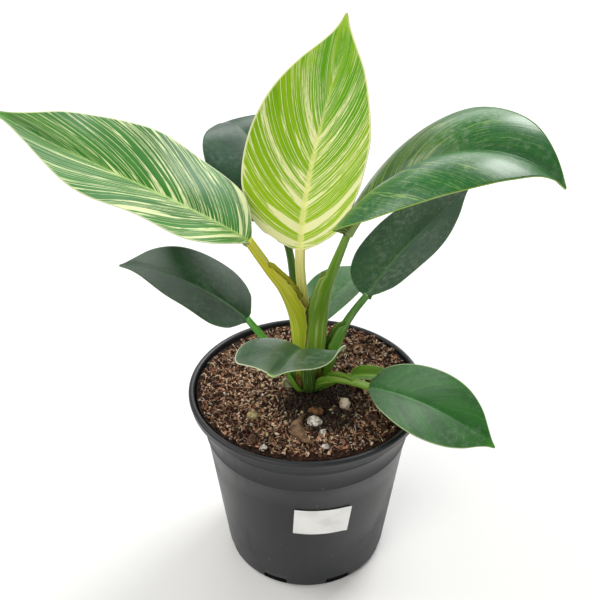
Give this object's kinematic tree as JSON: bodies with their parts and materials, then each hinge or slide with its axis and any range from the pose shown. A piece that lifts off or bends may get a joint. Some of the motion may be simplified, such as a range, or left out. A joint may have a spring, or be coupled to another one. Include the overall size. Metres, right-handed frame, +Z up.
{
  "type": "potted philodendron",
  "caption": "Young philodendron with pointed oval leaves, some streaked with cream, growing from soil in a tapered black nursery pot with a blank paper label.",
  "frame": {"origin": "centre of the pot's flat base, on the surface it stands on", "axes": "+Z up along the pot's axis, -Y towards the front of the plant where the label is, +X to the right"},
  "size_m": [0.2161, 0.1531, 0.2515],
  "materials": {
    "pot_plastic": "moulded charcoal polypropylene, slightly dusty",
    "label_paper": "plain white self-adhesive paper, blank",
    "soil": "dark brown peat and coconut fibre potting mix",
    "stem": "fleshy green plant stem, smooth",
    "stem_pale": "pale cream and yellow-green plant stem, smooth",
    "leaf_streaked_lime": "lime green leaf with cream streaks along its veins",
    "leaf_streaked_green": "mid green leaf with pale cream streaks",
    "leaf_glossy_green": "glossy green leaf with fine pale streaks",
    "leaf_grey_green": "grey-green leaf with a pale margin",
    "leaf_mid_green": "mid green glossy leaf with a thin pale margin",
    "leaf_dark": "very dark green leaf with a bluish sheen",
    "leaf_young": "bright yellow-green young leaf",
    "dry_leaf": "dry brown papery leaf tissue",
    "perlite": "white expanded volcanic glass, rough",
    "pebble": "small tan and greenish-grey stone, rough",
    "bark": "chipped reddish-brown bark, fibrous"
  },
  "bodies": {
    "root": {"pot": "pot_plastic", "label": "label_paper", "soil": "soil", "crown": "stem", "stalk_centre": "stem_pale", "blade_centre": "leaf_streaked_lime", "stalk_right_arched": "stem", "blade_right_arched": "leaf_glossy_green", "stalk_left_striped": "stem", "blade_left_striped": "leaf_streaked_green", "stalk_front": "stem", "blade_front": "leaf_grey_green", "stalk_right_low": "stem", "blade_right_low": "leaf_mid_green", "stalk_right_dark": "stem", "blade_right_dark": "leaf_dark", "stalk_left_dark": "stem", "blade_left_dark": "leaf_dark", "stalk_back_dark": "stem", "blade_back_dark": "leaf_dark", "stalk_back_small": "stem", "blade_back_small": "leaf_grey_green", "stalk_right_tiny": "stem", "blade_right_tiny": "leaf_young", "bract_right": "dry_leaf", "bract_left": "dry_leaf", "fallen_leaf": "dry_leaf", "perlite_large": "perlite", "perlite_front": "perlite", "perlite_rim": "perlite", "perlite_left": "perlite", "pebble_tan": "pebble", "pebble_yellow": "pebble", "stone_grey": "pebble", "bark_orange": "bark", "bark_left": "bark", "bark_right": "bark"}
  },
  "joints": []
}
